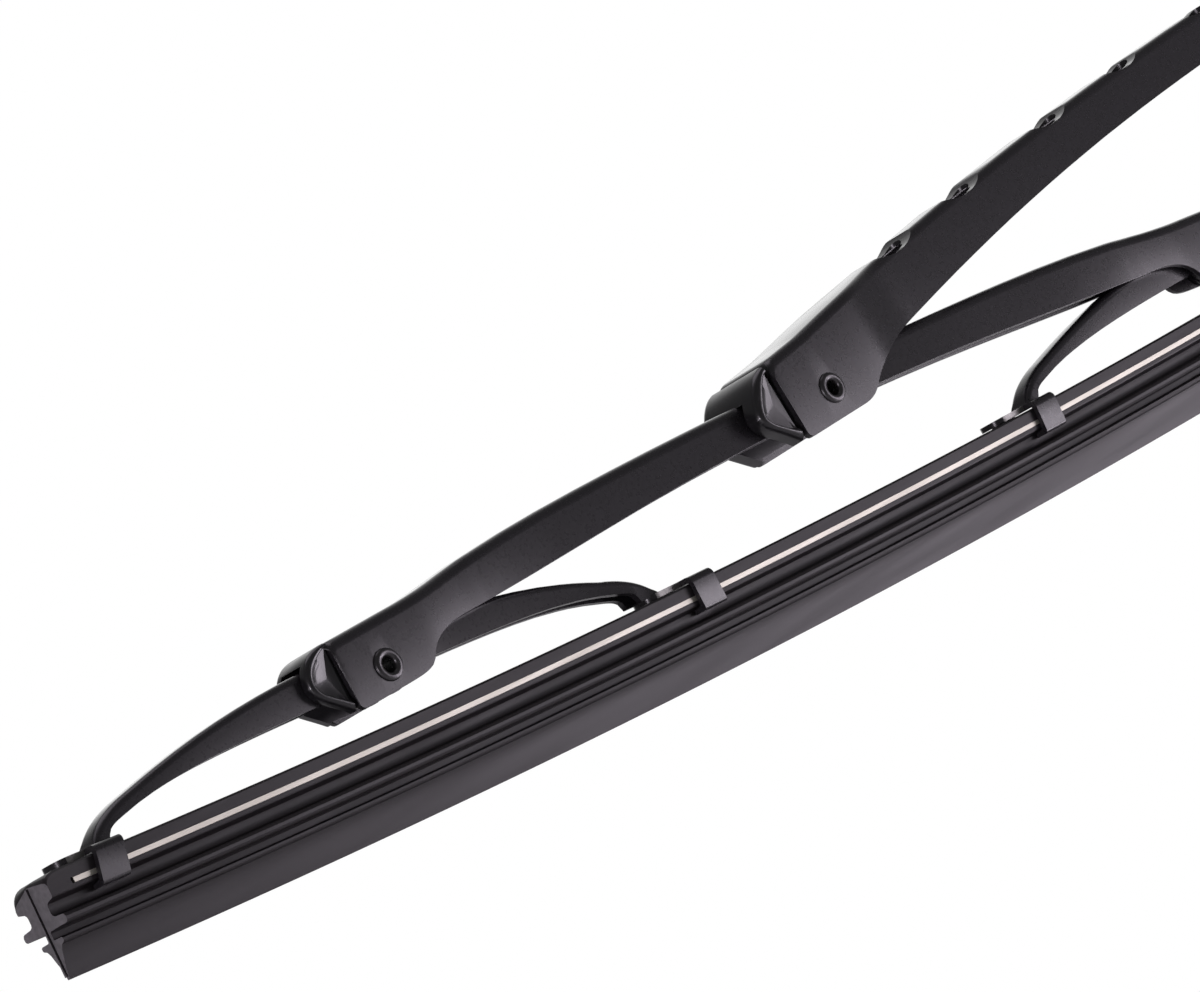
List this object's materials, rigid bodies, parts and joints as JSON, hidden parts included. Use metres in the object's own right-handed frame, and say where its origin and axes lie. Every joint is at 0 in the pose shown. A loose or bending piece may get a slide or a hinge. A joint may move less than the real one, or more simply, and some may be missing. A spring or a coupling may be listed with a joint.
{
  "type": "wiper blade",
  "caption": "Conventional car wiper blade: a bridge, yokes and clawed yokes of folded sheet steel hold a rubber squeegee with spring strips; rivets in plastic bushings let the frame flex.",
  "frame": {"origin": "middle of the pin that the wiper arm's hook goes round, at mid blade", "axes": "+X along the blade towards its right end, +Y across it along the arm pin, +Z away from the glass"},
  "size_m": [0.698, 0.0142, 0.0561],
  "materials": {
    "black_steel": "satin",
    "black_plastic": "gloss",
    "zinc": "satin",
    "rubber": "matte",
    "spring_steel": "satin"
  },
  "bodies": {
    "root": {"main_bridge": "black_steel", "bridge_bushing_left": "black_plastic", "bridge_bushing_right": "black_plastic", "bridge_rivet_left": "zinc", "bridge_rivet_right": "zinc", "arm_pin": "zinc"},
    "yoke_left": {"yoke_left": "black_steel", "yoke_bushing_outer_left": "black_plastic", "yoke_bushing_inner_left": "black_plastic", "yoke_rivet_outer_left": "zinc", "yoke_rivet_inner_left": "zinc"},
    "yoke_right": {"yoke_right": "black_steel", "yoke_bushing_outer_right": "black_plastic", "yoke_bushing_inner_right": "black_plastic", "yoke_rivet_outer_right": "zinc", "yoke_rivet_inner_right": "zinc"},
    "claw_yoke_outer_left": {"claw_yoke_outer_left": "black_steel"},
    "claw_yoke_inner_left": {"claw_yoke_inner_left": "black_steel"},
    "claw_yoke_inner_right": {"claw_yoke_inner_right": "black_steel"},
    "claw_yoke_outer_right": {"claw_yoke_outer_right": "black_steel"},
    "adapter": {"hook_adapter": "black_plastic"},
    "squeegee": {"squeegee": "rubber"},
    "spring_strips": {"spring_strip_near": "spring_steel", "spring_strip_far": "spring_steel"}
  },
  "joints": [
    {"name": "yoke_left_pivot", "type": "hinge", "parent": "root", "child": "yoke_left", "pos_m": [-0.18741, 0, -0.01511], "axis": [0, -1, 0], "range_deg": [-2, 8.2]},
    {"name": "yoke_right_pivot", "type": "hinge", "parent": "root", "child": "yoke_right", "pos_m": [0.18741, 0, -0.01511], "axis": [0, -1, 0], "range_deg": [-8.2, 2]},
    {"name": "claw_outer_left_pivot", "type": "hinge", "parent": "yoke_left", "child": "claw_yoke_outer_left", "pos_m": [-0.28172, 0, -0.0151], "axis": [0, -1, 0], "range_deg": [-1, 4.1]},
    {"name": "claw_inner_left_pivot", "type": "hinge", "parent": "yoke_left", "child": "claw_yoke_inner_left", "pos_m": [-0.09407, 0, -0.02852], "axis": [0, -1, 0], "range_deg": [-4.1, 1]},
    {"name": "claw_inner_right_pivot", "type": "hinge", "parent": "yoke_right", "child": "claw_yoke_inner_right", "pos_m": [0.09407, 0, -0.02852], "axis": [0, -1, 0], "range_deg": [-1, 4.1]},
    {"name": "claw_outer_right_pivot", "type": "hinge", "parent": "yoke_right", "child": "claw_yoke_outer_right", "pos_m": [0.28172, 0, -0.0151], "axis": [0, -1, 0], "range_deg": [-4.1, 1]},
    {"name": "squeegee_hold", "type": "hinge", "parent": "claw_yoke_inner_left", "child": "squeegee", "pos_m": [-0.03864, 0, -0.0393], "axis": [0, -1, 0], "range_deg": [-4.1, 1], "deforming": ["squeegee"]},
    {"name": "strips_hold", "type": "hinge", "parent": "claw_yoke_inner_right", "child": "spring_strips", "pos_m": [0.03864, 0, -0.0393], "axis": [0, -1, 0], "range_deg": [-1, 4.1], "deforming": ["spring_strip_near", "spring_strip_far"]},
    {"name": "adapter_pivot", "type": "hinge", "parent": "root", "child": "adapter", "pos_m": [0, 0, 0], "axis": [0, 1, 0], "range_deg": [-30, 90]}
  ],
  "couplings": [
    {"joint": "yoke_right_pivot", "follows": "yoke_left_pivot", "ratio": -1},
    {"joint": "claw_outer_left_pivot", "follows": "yoke_left_pivot", "ratio": 0.5},
    {"joint": "claw_inner_left_pivot", "follows": "yoke_left_pivot", "ratio": -0.5},
    {"joint": "claw_inner_right_pivot", "follows": "yoke_left_pivot", "ratio": 0.5},
    {"joint": "claw_outer_right_pivot", "follows": "yoke_left_pivot", "ratio": -0.5},
    {"joint": "squeegee_hold", "follows": "yoke_left_pivot", "ratio": -0.5},
    {"joint": "strips_hold", "follows": "yoke_left_pivot", "ratio": 0.5}
  ]
}
